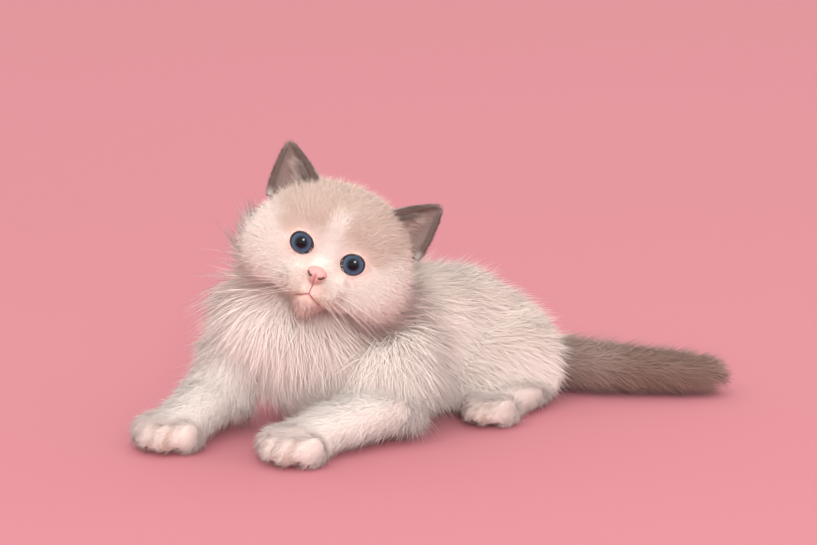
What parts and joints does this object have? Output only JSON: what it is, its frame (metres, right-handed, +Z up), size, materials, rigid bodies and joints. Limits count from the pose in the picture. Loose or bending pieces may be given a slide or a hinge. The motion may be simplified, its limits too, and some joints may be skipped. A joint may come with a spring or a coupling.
{
  "type": "ragdoll kitten",
  "caption": "Life-size still model of a young long-haired cat lying on its breast, head up and tilted, forelegs stretched forward, tail straight out behind.",
  "frame": {"origin": "on the floor under the middle of the kitten's overall box", "axes": "+X along the body toward the tail, -Y the side the kitten faces, +Z up"},
  "size_m": [0.298, 0.1944, 0.1419],
  "materials": {
    "coat": "long soft cream-white fur, beige on the forehead and back",
    "point_coat": "taupe fur on the ears and tail",
    "eye": "wet blue-grey iris round a black pupil",
    "nose_leather": "moist pink skin of the nose and lips",
    "whisker": "fine white whiskers"
  },
  "bodies": {
    "root": {"ear_left": "point_coat", "ear_right": "point_coat", "eye_left": "eye", "eye_right": "eye", "foreleg_left_forearm": "coat", "foreleg_left_paw": "coat", "foreleg_left_upper": "coat", "foreleg_right_forearm": "coat", "foreleg_right_paw": "coat", "foreleg_right_upper": "coat", "head": "coat", "hindleg_left_foot": "coat", "hindleg_left_thigh": "coat", "hindleg_right_foot": "coat", "hindleg_right_thigh": "coat", "neck": "coat", "nose": "nose_leather", "tail_middle": "point_coat", "tail_root": "point_coat", "tail_tip": "point_coat", "trunk": "coat"}
  },
  "joints": []
}
